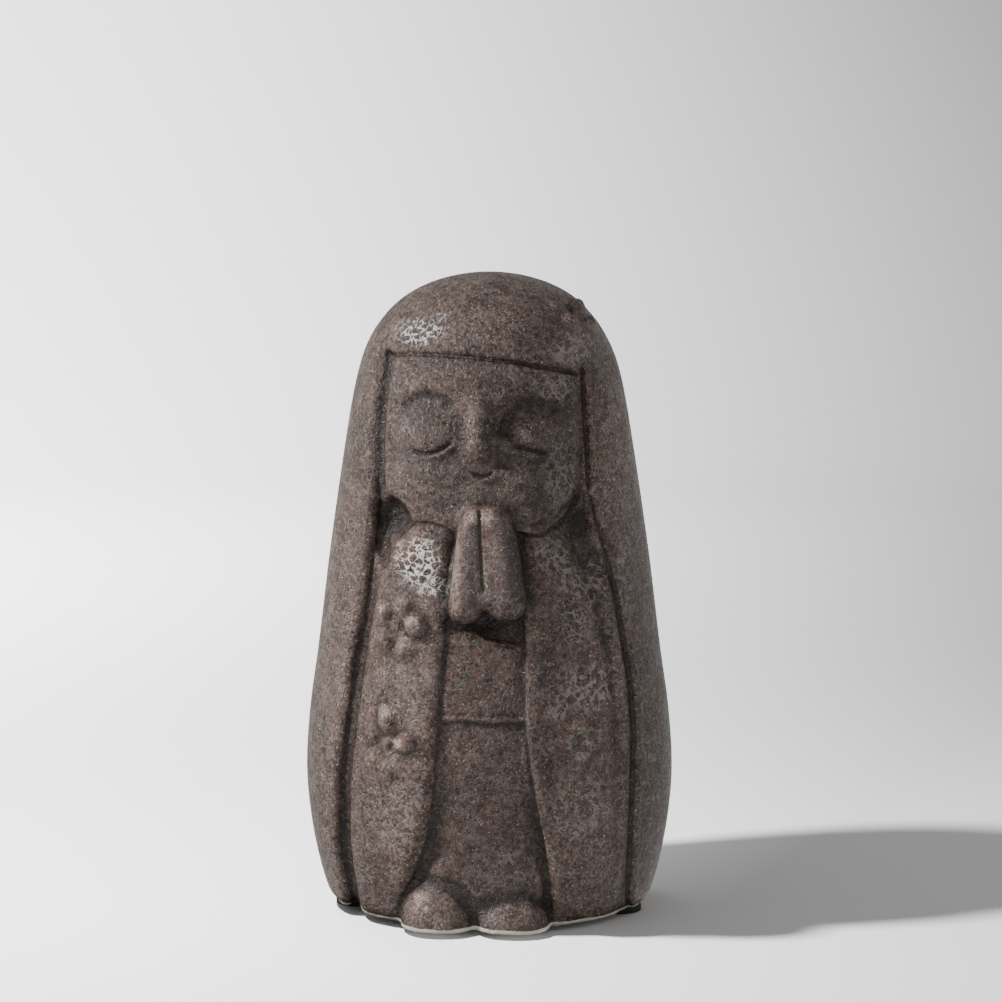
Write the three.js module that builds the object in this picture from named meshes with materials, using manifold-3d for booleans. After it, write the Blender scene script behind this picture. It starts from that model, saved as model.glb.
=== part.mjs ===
import * as THREE from "three";
import { mergeVertices } from "three/addons/utils/BufferGeometryUtils.js";
import Module from "manifold-3d";

// A glazed stoneware figurine of a praying girl goddess, standing on four stick-on pads.
// Millimetres, +Z up, the front towards -Y, the origin on the table under the middle of the figurine.

const { clamp, degToRad, lerp, smoothstep } = THREE.MathUtils;

// The figurine without its pads: its robe is this wide and deep, and its hands stand a little further out.
const figureHeight = 166.4;
const figureWidth = 97.2;
const figureDepth = 81.6;

// Stick-on pads
const padDiameter = 12;
const padThickness = 1.6;
const padEdgeShow = 1.2; // how far a pad shows past the foot of the figurine
const padAngles = { left: -88, front: -24, right: 82, back: 180 }; // degrees round from the front
const padSides = 24;

// Depths of the carving, inwards from the smooth outer form
const grooveDepth = 4.4;
const skirtDepth = 3.2;
const sashDepth = 2.4;
const sleeveDepth = 0.4;
const cheekDepth = -0.7;
const handShadeDepth = 3; // further in, under the hands
const fringeStep = 1.9; // from the fringe down to the brow

// Widths over which each edge of the carving rounds off
const hairRounding = 3.6;
const faceRounding = 7;
const browRounding = 5;
const sleeveRounding = 6.2;
const robeEdgeRounding = 3;
const sashRounding = 2.2;
const cornerSoftness = 2;

// How far the features of the face stand out or lie back
const socketDepth = 1.6;
const eyelidRise = 1.4;
const cheekRise = 0.7;
const chinRise = 1;
const noseRootRise = 0.5;
const noseTipRise = 2;

// The layout is in hundredths of the figurine's height, of its half width and of its half depth.
const tall = (percent) => (percent / 100) * figureHeight;
const wide = (percent) => (percent / 100) * (figureWidth / 2);
const deep = (percent) => (percent / 100) * (figureDepth / 2);

// A smooth curve through stations [height, value], with the slope at each one set by its neighbours.
function through(stations) {
  const slope = (i, j) => (stations[j][1] - stations[i][1]) / (stations[j][0] - stations[i][0]);
  const last = stations.length - 1;
  const slopes = stations.map((station, i) => slope(Math.max(i - 1, 0), Math.min(i + 1, last)));
  return (height) => {
    if (height <= stations[0][0]) return stations[0][1];
    if (height >= stations[last][0]) return stations[last][1];
    const i = stations.findIndex((station) => station[0] > height) - 1;
    const span = stations[i + 1][0] - stations[i][0];
    const t = (height - stations[i][0]) / span;
    const rise = stations[i + 1][1] - stations[i][1];
    const start = slopes[i] * span;
    const end = slopes[i + 1] * span;
    const bend = 3 * rise - 2 * start - end;
    return stations[i][1] + t * start + t * t * bend + t ** 3 * (start + end - 2 * rise);
  };
}

const distanceLine = (stations) => through(stations.map(([z, x]) => [tall(z), wide(x)]));
const fullnessLine = (stations) => through(stations.map(([z, percent]) => [tall(z), percent / 100]));

// Outer form: half width by height, closed by the crown at the top
const taper = distanceLine([
  [0, 81.5], [1, 86.2], [2.4, 88.9], [6, 92.6], [13.2, 97.5], [21.6, 100],
  [31.2, 97.9], [40.9, 93.2], [56.5, 86.6], [72.1, 78.6], [100, 62.8],
]);
const crownStart = tall(71.2);
const crownSharpness = 4.75;

function halfWidth(height) {
  const intoCrown = Math.max(0, height - crownStart) / (figureHeight - crownStart);
  return taper(height) * Math.sqrt(Math.max(0, 1 - intoCrown ** crownSharpness));
}

// Fullness of the front and of the back by height, in hundredths of the robe's own depth over its width
const frontFullness = fullnessLine([[0, 98.5], [21.6, 100], [58.9, 103.6], [76.9, 107], [100, 109]]);
const backFullness = fullnessLine([[0, 98.5], [21.6, 100], [58.9, 106], [76.9, 112], [100, 113]]);

// Lines of the carving on each side, as distance from the middle by height
const hairLine = {
  left: distanceLine([
    [0, 72], [3.6, 73.7], [10.8, 78.2], [18.6, 77], [30.6, 72.2], [42.7, 67.3],
    [49.3, 61.7], [58.9, 56.8], [66.7, 54.3], [79.3, 54.5], [87.7, 50.6],
  ]),
  right: distanceLine([
    [0, 76.1], [6, 77.6], [16.8, 79.8], [26.4, 80.2], [36.7, 78.4],
    [45.1, 74.5], [55.3, 67.5], [64.3, 57.6], [74.5, 54.7], [85.3, 52.3],
  ]),
};
const robeLine = {
  left: distanceLine([
    [0, 42.2], [5.4, 39.1], [12, 31.1], [18, 25.1], [25.8, 23],
    [36.1, 21], [45.7, 18.1], [54.1, 15.6], [58.9, 14.4],
  ]),
  right: distanceLine([
    [0, 39.5], [10.2, 38.1], [15.6, 34.4], [21, 30.2], [28.2, 25.3],
    [36.1, 25.1], [46.9, 25.5], [54.1, 24.7], [58.9, 23.5],
  ]),
};
const fringe = { height: tall(88.5), peak: wide(-22.6), droop: tall(1.5), span: wide(50) };
const fringeHeight = (x) => fringe.height - fringe.droop * ((x - fringe.peak) / fringe.span) ** 2;
const sash = { foot: tall(33.2), top: tall(46), droop: tall(2), span: wide(25) };
const sashTop = (x) => sash.top - (sash.droop * x) / sash.span;
const shoulder = { height: tall(63), flat: wide(32.9), droop: tall(6.6), span: wide(22.6) };
const shoulderTop = (x) =>
  shoulder.height - shoulder.droop * (Math.max(0, Math.abs(x) - shoulder.flat) / shoulder.span) ** 2;

// Features of the face, and the shade under the hands, as ellipses seen from the front
const ellipse = (x, z, halfWide, halfTall) => ({
  x: wide(x),
  z: tall(z),
  halfWide: wide(halfWide),
  halfTall: tall(halfTall),
});
const face = { middle: tall(71.2), halfWidth: wide(52.9), drop: tall(10.3), squareness: 2.6 };
const socket = ellipse(26.3, 79.6, 20.6, 5.1);
const eyelid = ellipse(25.5, 76.3, 18.1, 3.6);
const cheek = ellipse(29.8, 68.5, 22.6, 6);
const chin = ellipse(1.2, 64.6, 30.9, 5.4);
const handShade = ellipse(5.1, 47.8, 22.6, 3);
const nose = {
  root: tall(82.9),
  tip: tall(74.2),
  rootHalfWide: wide(6),
  tipHalfWide: wide(8.8),
  fade: tall(2.4),
};

// A rounded rise from nothing at an edge to its full height at the rounding's width.
function pillow(fromEdge, rounding, rise) {
  const left = 1 - clamp(fromEdge / rounding, 0, 1);
  return rise * Math.sqrt(1 - left * left);
}

// The lesser of two values, with the corner between them rounded off
function softMin(a, b, softness) {
  const t = clamp(0.5 + (0.5 * (b - a)) / softness, 0, 1);
  return b + (a - b) * t - softness * t * (1 - t);
}

// A bell over an ellipse, 1 in its middle and 0 past its edge.
function bell(x, z, place) {
  const far = Math.hypot((x - place.x) / place.halfWide, (z - place.z) / place.halfTall);
  return far >= 1 ? 0 : (1 - far * far) ** 2;
}

function noseRelief(x, z) {
  const down = clamp((nose.root - z) / (nose.root - nose.tip), 0, 1);
  const across = x / lerp(nose.rootHalfWide, nose.tipHalfWide, down);
  if (Math.abs(across) >= 1) return 0;
  const aboveTip = smoothstep(z, nose.tip - nose.fade, nose.tip);
  const belowRoot = 1 - smoothstep(z, nose.root - nose.fade, nose.root + nose.fade);
  return lerp(noseRootRise, noseTipRise, down) * aboveTip * belowRoot * (1 - across * across) ** 1.5;
}

// How far the face stands out of the groove floor.
function faceRelief(x, z) {
  const sideways = Math.abs(x) / face.halfWidth;
  const below = Math.max(0, face.middle - z) / face.drop;
  const outline = (sideways ** face.squareness + below ** face.squareness) ** (1 / face.squareness);
  const fromEdge = 0.8 * face.halfWidth * (1 - outline);
  const fromFringe = fringeHeight(x) - z;
  if (fromEdge <= 0 || fromFringe <= 0) return 0;
  const brow = grooveDepth - fringeStep + pillow(fromFringe, browRounding, fringeStep - cheekDepth);
  let relief = softMin(pillow(fromEdge, faceRounding, grooveDepth - cheekDepth), brow, cornerSoftness / 2);
  for (const side of [-1, 1]) {
    relief -= socketDepth * bell(side * x, z, socket);
    relief += eyelidRise * bell(side * x, z, eyelid);
    relief += cheekRise * bell(side * x, z, cheek);
  }
  return relief + chinRise * bell(x, z, chin) + noseRelief(x, z);
}

// The carved surface's depth, as seen from the front: 0 on the outer form, negative inside it.
function carve(x, z) {
  const side = x < 0 ? "left" : "right";
  const fromHair = softMin(1.4 * (hairLine[side](z) - Math.abs(x)), fringeHeight(x) - z, cornerSoftness);
  const fromRobe = Math.abs(x) - robeLine[side](z);
  const hair = pillow(-fromHair, hairRounding, grooveDepth);
  const robeEdge = (fromRobe * sleeveRounding) / robeEdgeRounding;
  const besideRobe = softMin(fromHair - 0.6, robeEdge, cornerSoftness);
  const inSleeve = softMin(besideRobe, shoulderTop(x) - z, cornerSoftness);
  const sleeve = pillow(inSleeve, sleeveRounding, grooveDepth - sleeveDepth);
  const inPanel = 1.4 - fromRobe;
  const inSash = Math.min(inPanel, sashTop(x) - z, z - sash.foot);
  const sashRelief = pillow(inSash, sashRounding, grooveDepth - sashDepth);
  const inSkirt = Math.min(inPanel, sash.foot + 1 - z);
  const skirt = pillow(inSkirt, sashRounding, grooveDepth - skirtDepth);
  const relief = Math.max(hair, faceRelief(x, z), sleeve, sashRelief, skirt);
  const shade = handShadeDepth * bell(x, z, handShade) * (1 - smoothstep(relief, 0, 1));
  return relief - grooveDepth - shade;
}

// Columns of the net hug the middle, the robe's edge and the hair line, and are sparse round the back.
const panelShares = [0, 0.14, 0.3, 0.5, 0.74];
const robeSteps = [wide(-2.5), wide(0.4), wide(3.5)];
const sleeveColumns = 5;
const hairSteps = [wide(-4.1), wide(-1.6), wide(0.6), wide(2.9)];
const sideColumns = 4;
const backColumns = 6;

function columnAngles(side, height) {
  const robe = robeLine[side](height);
  const hair = hairLine[side](height);
  const angleAt = (x) => Math.asin(Math.min(0.985, x / Math.max(halfWidth(height), 1e-6)));
  const angles = panelShares.map((share) => angleAt(robe * share));
  for (const step of robeSteps) angles.push(angleAt(robe + step));
  const sleeveStart = robe + robeSteps.at(-1);
  const sleeveEnd = hair + hairSteps[0];
  for (let i = 1; i <= sleeveColumns; i++) {
    angles.push(angleAt(lerp(sleeveStart, sleeveEnd, i / (sleeveColumns + 1))));
  }
  for (const step of hairSteps) angles.push(angleAt(hair + step));
  const last = angles.at(-1);
  for (let i = 1; i <= sideColumns; i++) angles.push(lerp(last, Math.PI / 2, i / sideColumns));
  for (let i = 1; i <= backColumns; i++) angles.push(lerp(Math.PI / 2, Math.PI, i / backColumns));
  const evenedOut = smoothstep(height, fringe.height, figureHeight);
  return angles.map((angle, i) => lerp(angle, (Math.PI * i) / (angles.length - 1), evenedOut));
}

// Rows of the net hug the sash, the chin and the fringe, and close up over the crown.
const edgeRowReach = tall(1.4);
const crownFoot = tall(89.5);
const crownRows = 8;
const rowBands = [
  { to: tall(2.4), rows: 3 },
  { to: sash.foot - edgeRowReach / 2, rows: 10 },
  { to: sash.foot + edgeRowReach, rows: 3 },
  { to: sash.top - edgeRowReach, rows: 4 },
  { to: sash.top + edgeRowReach / 4, rows: 4 },
  { to: tall(58.9), rows: 7 },
  { to: tall(64.3), rows: 6 },
  { to: tall(85.3), rows: 13 },
  { to: crownFoot, rows: 5 },
];
const rowHeights = [];
let bandFoot = 0;
for (const { to, rows } of rowBands) {
  for (let i = 0; i < rows; i++) rowHeights.push(lerp(bandFoot, to, i / rows));
  bandFoot = to;
}
for (let i = 0; i < crownRows; i++) {
  rowHeights.push(lerp(crownFoot, figureHeight, Math.sin(((i / crownRows) * Math.PI) / 2)));
}

const near = (height, place, reach) => Math.exp(-(((height - place) / reach) ** 2));

// A row rises with the cheeks beside the chin, and slants with the sash's top and with the fringe.
const chinRow = { height: tall(61), reach: tall(7.2), lift: tall(5.4) };
const slantReach = tall(5.4);

function rowAt(height, x) {
  const within = clamp(x, -face.halfWidth, face.halfWidth);
  const onSash = clamp(x, -robeLine.left(sash.top), robeLine.right(sash.top));
  const chinToCheek = Math.abs(within / face.halfWidth) ** 3.4;
  const atChin = chinRow.lift * chinToCheek * near(height, chinRow.height, chinRow.reach);
  const atSash = (sashTop(onSash) - sash.top) * near(height, sash.top, slantReach);
  const atFringe = (fringeHeight(within) - fringeHeight(0)) * near(height, fringeHeight(0), slantReach);
  return height + atChin + atSash + atFringe;
}

const fromFront = (angle) => 1 - smoothstep(Math.abs(angle), 1.25, 1.5);

// A point of the form, round from the front by an angle, moved out of the smooth outer form by some relief
function formPoint(angle, height, relief) {
  const halfWide = halfWidth(height);
  const fullness = Math.abs(angle) < Math.PI / 2 ? frontFullness : backFullness;
  const halfDeep = ((halfWide * figureDepth) / figureWidth) * fullness(height);
  const place = new THREE.Vector2(halfWide * Math.sin(angle), -halfDeep * Math.cos(angle));
  const outwards = new THREE.Vector2(place.x / halfWide ** 2, place.y / halfDeep ** 2).normalize();
  place.addScaledVector(outwards, relief);
  return new THREE.Vector3(place.x, place.y, height);
}

function netPoint(side, column, nominal) {
  const sign = side === "left" ? -1 : 1;
  let height = nominal;
  let angle = 0;
  for (let pass = 0; pass < 3; pass++) {
    angle = columnAngles(side, height)[column];
    const x = halfWidth(height) * Math.sin(Math.min(angle, Math.PI / 2));
    const levelled = smoothstep(angle, Math.PI / 2, Math.PI);
    height = lerp(rowAt(nominal, sign * x), nominal, levelled);
  }
  const x = sign * halfWidth(height) * Math.sin(angle);
  return formPoint(sign * angle, height, carve(x, height) * fromFront(angle));
}

// Rings of points, joined by quads and closed by a point at each end
function ringsToGeometry(rings, bottom, top) {
  const points = [...rings.flat(), bottom, top];
  const around = rings[0].length;
  const faces = [];
  for (let row = 0; row + 1 < rings.length; row++) {
    for (let i = 0; i < around; i++) {
      const j = (i + 1) % around;
      const [a, b] = [row * around + i, row * around + j];
      faces.push(a, b, b + around, a, b + around, a + around);
    }
  }
  const first = (rings.length - 1) * around;
  for (let i = 0; i < around; i++) {
    const j = (i + 1) % around;
    faces.push(points.length - 2, j, i, first + i, first + j, points.length - 1);
  }
  const geometry = new THREE.BufferGeometry().setFromPoints(points);
  geometry.setIndex(faces);
  return geometry;
}

function bodyGeometry() {
  const last = columnAngles("left", 0).length - 1;
  const rings = rowHeights.map((nominal) => {
    const ring = [];
    for (let i = last; i >= 0; i--) ring.push(netPoint("left", i, nominal));
    for (let i = 1; i < last; i++) ring.push(netPoint("right", i, nominal));
    return ring;
  });
  return ringsToGeometry(rings, new THREE.Vector3(0, 0, 0), new THREE.Vector3(0, 0, figureHeight));
}

// Hands: tapered bars with round ends, pressed together along a seam
const handSides = 12;
const handShaftRings = 4;
const handCapAngles = [25, 50, 75];
const handEnd = (x, y, z, halfWide, halfDeep, cap) => ({
  x: wide(x),
  y: deep(y),
  z: tall(z),
  halfWide: wide(halfWide),
  halfDeep: deep(halfDeep),
  cap: tall(cap),
});
const hands = {
  left: {
    wrist: handEnd(-4.7, -88.7, 51.4, 10.5, 16.7, 2.6),
    tip: handEnd(-3.1, -90.2, 63.9, 7, 14.2, 2.3),
  },
  right: {
    wrist: handEnd(14.6, -88.2, 51, 10.9, 16.7, 2.6),
    tip: handEnd(10.1, -89.7, 63.7, 8.4, 14.2, 2.3),
  },
};

function handRing(end, lift, size) {
  return Array.from({ length: handSides }, (_, i) => {
    const angle = (i / handSides) * 2 * Math.PI;
    const x = end.x + end.halfWide * size * Math.cos(angle);
    const y = end.y + end.halfDeep * size * Math.sin(angle);
    return new THREE.Vector3(x, y, end.z + lift);
  });
}

function handGeometry({ wrist, tip }) {
  const capRing = (end, degrees, way) => {
    const angle = degToRad(degrees);
    return handRing(end, way * end.cap * Math.sin(angle), Math.cos(angle));
  };
  const rings = handCapAngles.toReversed().map((degrees) => capRing(wrist, degrees, -1));
  for (let i = 0; i < handShaftRings; i++) {
    const t = i / (handShaftRings - 1);
    const between = Object.keys(wrist).map((key) => [key, lerp(wrist[key], tip[key], t)]);
    rings.push(handRing(Object.fromEntries(between), 0, 1));
  }
  for (const degrees of handCapAngles) rings.push(capRing(tip, degrees, 1));
  const low = new THREE.Vector3(wrist.x, wrist.y, wrist.z - wrist.cap);
  const high = new THREE.Vector3(tip.x, tip.y, tip.z + tip.cap);
  return ringsToGeometry(rings, low, high);
}

// Toes: round mounds at the hem, cut flat with the foot of the figurine
const toeSquareness = 2.5;
const toes = {
  left: { x: wide(-21), y: deep(-70.1), halfWide: wide(20), halfDeep: deep(28.4), height: tall(7.5) },
  right: { x: wide(18.9), y: deep(-70.6), halfWide: wide(19.3), halfDeep: deep(27.5), height: tall(6.1) },
};

function toeGeometry({ x, y, halfWide, halfDeep, height }) {
  const mound = new THREE.SphereGeometry(1, 20, 12).rotateX(Math.PI / 2);
  const spots = mound.attributes.position;
  for (let i = 0; i < spots.count; i++) {
    const [across, along] = [spots.getX(i), spots.getY(i)];
    const sum = Math.abs(across) ** toeSquareness + Math.abs(along) ** toeSquareness;
    const square = sum > 1e-6 ? Math.hypot(across, along) / sum ** (1 / toeSquareness) : 1;
    spots.setXY(i, across * square, along * square);
  }
  return mound.scale(halfWide, halfDeep, height).translate(x, y, 0);
}

// Blossoms: a round heart in a ring of petals, on the sleeves and in the hair
const petalCount = 5;
const petalRing = 5.2;
const petalRadius = 3.1;
const heartRadius = 2.2;
const petalSunk = 1.2;
const blossoms = [
  { x: wide(-42.4), z: tall(47.1), rise: 1.5, turn: 10 },
  { x: wide(-47.9), z: tall(28.8), rise: 1.5, turn: 80 },
  { x: wide(56), z: tall(29.6), rise: 1, turn: 100 },
  { x: wide(46.5), z: tall(94.6), rise: 1.4, turn: 90 },
];

// The surface's place and directions, a small way along it and up it from an angle and a height
function surfaceNear(angle, height, along, upwards) {
  const relief = height > fringe.height ? 0 : -sleeveDepth;
  const step = 1e-3;
  const perAngle = (at) => formPoint(at + step, height, relief).sub(formPoint(at - step, height, relief));
  const perHeight = (at) => formPoint(angle, at + step, relief).sub(formPoint(angle, at - step, relief));
  const moved = {
    angle: angle + (2 * step * along) / perAngle(angle).length(),
    height: height + (2 * step * upwards) / perHeight(height).length(),
  };
  const place = formPoint(moved.angle, moved.height, relief);
  const side = perAngle(moved.angle).normalize();
  const up = perHeight(moved.height).normalize();
  return { place, side, up, outwards: side.clone().cross(up).normalize() };
}

function blossomLumps({ x, z, rise, turn }) {
  const angle = Math.asin(x / halfWidth(z));
  const lump = (radius, reach, degrees) => {
    const round = degToRad(degrees);
    const [along, upwards] = [reach * Math.cos(round), reach * Math.sin(round)];
    const { place, side, up, outwards } = surfaceNear(angle, z, along, upwards);
    const frame = new THREE.Matrix4().makeBasis(side, up, outwards);
    frame.setPosition(place.addScaledVector(outwards, -petalSunk));
    const ball = new THREE.SphereGeometry(1, 7, 5).rotateX(Math.PI / 2);
    return ball.scale(radius, radius, rise + petalSunk).applyMatrix4(frame);
  };
  const petals = Array.from({ length: petalCount }, (_, i) =>
    lump(petalRadius, petalRing, turn + (360 * i) / petalCount),
  );
  return [lump(heartRadius, 0, 0), ...petals];
}

const wasm = await Module();
wasm.setup();

function toSolid(geometry) {
  const bare = geometry.clone();
  bare.deleteAttribute("normal");
  bare.deleteAttribute("uv");
  const merged = mergeVertices(bare, 1e-3);
  return new wasm.Manifold(
    new wasm.Mesh({
      numProp: 3,
      vertProperties: new Float32Array(merged.attributes.position.array),
      triVerts: new Uint32Array(merged.index.array),
    }),
  );
}

function toGeometry(solid) {
  const mesh = solid.getMesh();
  const geometry = new THREE.BufferGeometry();
  geometry.setAttribute("position", new THREE.BufferAttribute(mesh.vertProperties, 3));
  geometry.setIndex(new THREE.BufferAttribute(mesh.triVerts, 1));
  geometry.computeVertexNormals();
  return geometry;
}

function figurineGeometry() {
  const lumps = [
    ...Object.values(hands).map(handGeometry),
    ...Object.values(toes).map(toeGeometry),
    ...blossoms.flatMap(blossomLumps),
  ];
  const whole = lumps.reduce((solid, lump) => solid.add(toSolid(lump)), toSolid(bodyGeometry()));
  const block = new THREE.BoxGeometry(3 * figureWidth, 3 * figureDepth, figureHeight);
  const underground = toSolid(block.translate(0, 0, -figureHeight / 2));
  return toGeometry(whole.subtract(underground));
}

function padGeometry(degrees) {
  const footEdge = formPoint(degToRad(degrees), 0, 0);
  const reach = footEdge.length();
  const middle = footEdge.multiplyScalar((reach + padEdgeShow - padDiameter / 2) / reach);
  return new THREE.CylinderGeometry(padDiameter / 2, padDiameter / 2, padThickness, padSides)
    .rotateX(Math.PI / 2)
    .translate(middle.x, middle.y, padThickness / 2);
}

const glaze = new THREE.MeshStandardMaterial({ color: 0x4a3e38, roughness: 0.5, metalness: 0 });
const padFoam = new THREE.MeshStandardMaterial({ color: 0x141414, roughness: 0.85, metalness: 0 });

function named(name, geometry, material) {
  const mesh = new THREE.Mesh(geometry, material);
  mesh.name = name;
  return mesh;
}

const part = new THREE.Group();
const figurine = named("figurine", figurineGeometry(), glaze);
figurine.position.z = padThickness;
part.add(figurine);
for (const [place, degrees] of Object.entries(padAngles)) {
  part.add(named(`foot_pad_${place}`, padGeometry(degrees), padFoam));
}

// The origin is put under the middle of the whole thing.
const middle = new THREE.Box3().setFromObject(part).getCenter(new THREE.Vector3());
part.position.set(-middle.x, -middle.y, 0);

export default part;
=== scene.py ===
import math

import bmesh
import bpy
import numpy as np
from mathutils import Matrix, Vector


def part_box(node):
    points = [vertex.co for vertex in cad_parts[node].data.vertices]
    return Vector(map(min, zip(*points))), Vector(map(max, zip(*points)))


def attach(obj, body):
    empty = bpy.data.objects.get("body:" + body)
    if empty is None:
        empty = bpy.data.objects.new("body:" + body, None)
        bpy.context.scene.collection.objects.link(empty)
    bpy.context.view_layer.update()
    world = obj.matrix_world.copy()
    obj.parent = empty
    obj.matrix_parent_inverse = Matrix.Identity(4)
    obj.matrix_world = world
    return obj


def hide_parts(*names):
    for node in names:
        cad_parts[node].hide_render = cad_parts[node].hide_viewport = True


# A small glazed stoneware goddess with praying hands, standing on four stick-on pads.
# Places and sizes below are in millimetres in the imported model's frame, and become metres where they
# are used.

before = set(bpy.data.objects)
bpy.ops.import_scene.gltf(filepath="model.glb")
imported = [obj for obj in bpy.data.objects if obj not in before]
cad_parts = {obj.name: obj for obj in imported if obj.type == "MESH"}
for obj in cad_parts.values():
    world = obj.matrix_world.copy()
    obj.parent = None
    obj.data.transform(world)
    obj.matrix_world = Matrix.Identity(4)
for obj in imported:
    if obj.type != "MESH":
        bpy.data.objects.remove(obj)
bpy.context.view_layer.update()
mm = 0.001
touching = 0.1 * mm  # closer than this counts as the same place
flatEnough = 0.9  # a face lies flat when its normal points this much up or down


# Small helpers

def pickOnly(piece):
    bpy.ops.object.select_all(action="DESELECT")
    piece.select_set(True)
    bpy.context.view_layer.objects.active = piece


def applyModifier(piece, kind, **values):
    pickOnly(piece)
    modifier = piece.modifiers.new(kind.title(), kind)
    for name, value in values.items():
        setattr(modifier, name, value)
    bpy.ops.object.modifier_apply(modifier=modifier.name)


def inEditMode(piece, *steps):
    pickOnly(piece)
    bpy.ops.object.mode_set(mode="EDIT")
    for step in steps:
        step()
    bpy.ops.object.mode_set(mode="OBJECT")


def chooseParts(piece, kind, chosen):
    # in edit mode: selects the faces or edges that pass a test
    bpy.ops.mesh.select_mode(type=kind)
    bpy.ops.mesh.select_all(action="DESELECT")
    inside = bmesh.from_edit_mesh(piece.data)
    for part in inside.faces if kind == "FACE" else inside.edges:
        part.select = chosen(part)
    inside.select_flush_mode()
    bmesh.update_edit_mesh(piece.data)


def selectFaces(piece, chosen):
    # the test is given each face's centre in mm and its normal
    def passes(face):
        return chosen(face.calc_center_median() / mm, face.normal)

    inEditMode(piece, lambda: chooseParts(piece, "FACE", passes))


# Camera at the photograph's viewing angle

cameraView = {
    "aim": (0.0, 1.07, 107.8),
    "sideStep": 3.06,
    "distance": 1000.0,
    "azimuth": 4.5,  # in degrees, as the elevation is
    "elevation": 8.0,
    "focalPixels": 3820.0,
    "imagePixels": 1002.0,
    "sensor": 36.0,
    "nearest": 10,
    "farthest": 20000,
}


def makeCamera(view):
    azimuth = math.radians(view["azimuth"])
    elevation = math.radians(view["elevation"])
    back = Vector((
        math.sin(azimuth) * math.cos(elevation),
        -math.cos(azimuth) * math.cos(elevation),
        math.sin(elevation),
    ))
    right = Vector((math.cos(azimuth), math.sin(azimuth), 0.0))
    up = back.cross(right)
    place = Vector(view["aim"]) + right * view["sideStep"] + back * view["distance"]
    data = bpy.data.cameras.new("photoCamera")
    data.sensor_width = view["sensor"]
    data.lens = view["sensor"] * view["focalPixels"] / view["imagePixels"]
    data.clip_start = view["nearest"] * mm
    data.clip_end = view["farthest"] * mm
    camera = bpy.data.objects.new("photoCamera", data)
    bpy.context.scene.collection.objects.link(camera)
    turn = Matrix((right, up, back)).transposed().to_4x4()
    camera.matrix_world = Matrix.Translation(place * mm) @ turn
    bpy.context.scene.camera = camera


makeCamera(cameraView)
print("camera set")


# Node helpers for the materials

def newMaterial(name):
    material = bpy.data.materials.new(name)
    material.use_nodes = True
    return material, material.node_tree, material.node_tree.nodes["Principled BSDF"]


def addNode(tree, kind, inputs=None, **settings):
    made = tree.nodes.new("ShaderNode" + kind)
    for name, value in settings.items():
        setattr(made, name, value)
    for name, value in (inputs or {}).items():
        if isinstance(value, bpy.types.NodeSocket):
            tree.links.new(value, made.inputs[name])
        else:
            made.inputs[name].default_value = value
    return made


def millimetres(tree):
    place = addNode(tree, "TexCoord")
    scaled = addNode(tree, "Mapping", {"Vector": place.outputs["Object"], "Scale": (1000, 1000, 1000)})
    return scaled.outputs["Vector"]


def ramp(tree, value, stops):
    made = addNode(tree, "ValToRGB", {"Fac": value})
    bar = made.color_ramp
    while len(bar.elements) < len(stops):
        bar.elements.new(0.5)
    for element, (at, shade) in zip(bar.elements, stops):
        element.position = at
        element.color = (shade, shade, shade, 1) if isinstance(shade, (int, float)) else (*shade, 1)
    return made.outputs["Color"]


def maths(tree, operation, first, second=0.0, clamp=False):
    made = addNode(tree, "Math", {0: first, 1: second}, operation=operation, use_clamp=clamp)
    return made.outputs[0]


def plus(tree, first, second):
    return maths(tree, "ADD", first, second)


def minus(tree, first, second):
    return maths(tree, "SUBTRACT", first, second)


def times(tree, first, second, clamp=False):
    return maths(tree, "MULTIPLY", first, second, clamp)


def larger(tree, first, second):
    return maths(tree, "MAXIMUM", first, second)


def mixed(tree, share, under, over, blend="MIX"):
    # a Mix node of colours has its factor at 0, its two colours at 6 and 7, and its result at 2
    made = addNode(tree, "Mix", data_type="RGBA", blend_type=blend)
    for slotIndex, value in ((0, share), (6, under), (7, over)):
        if isinstance(value, bpy.types.NodeSocket):
            tree.links.new(value, made.inputs[slotIndex])
        elif slotIndex == 0:
            made.inputs[0].default_value = value
        else:
            made.inputs[slotIndex].default_value = (*value, 1)
    return made.outputs[2]


def noiseAt(tree, where, scale, detail, roughness, output="Fac"):
    made = addNode(
        tree, "TexNoise", {"Vector": where, "Scale": scale, "Detail": detail, "Roughness": roughness}
    )
    return made.outputs[output]


def cellsAt(tree, where, scale, feature):
    return addNode(tree, "TexVoronoi", {"Vector": where, "Scale": scale}, feature=feature)


def pushedAbout(tree, where, scale, reach):
    # shifts a pattern by a soft noise, so that no line in it runs straight
    shove = noiseAt(tree, where, scale, 2.0, 0.5, "Color")
    centred = addNode(tree, "VectorMath", {0: shove, 1: (0.5, 0.5, 0.5)}, operation="SUBTRACT")
    sized = addNode(tree, "VectorMath", {0: centred.outputs[0], "Scale": reach}, operation="SCALE")
    moved = addNode(tree, "VectorMath", {0: where, 1: sized.outputs[0]}, operation="ADD")
    return moved.outputs[0]


# The figurine: lumps of clay are pressed onto its solid form, which is smoothed and then carved

clayForm = {
    "voxel": 1.0,
    "mergeWithin": 0.001,
    "firstSmoothing": 5,
    "lastSmoothing": 1,
    "foot": 1.6,
    "footSlack": 0.2,
    "spareFoot": 4.0,
    "fineFront": {"facing": 0.45, "back": -12, "halfWide": 31, "low": 38, "high": 152},
    "lumpSides": 40,
}
carving = {
    "back": -8,  # only what lies in front of this is carved
    "fadeFrom": 0.1,  # and less where the surface turns sideways
    "fadeOver": 0.3,
    "strokeEnd": 2.5,
    "lipWidth": 0.55,
    "lipReach": 3,
    "dabFullness": 1.25,
}

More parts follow.
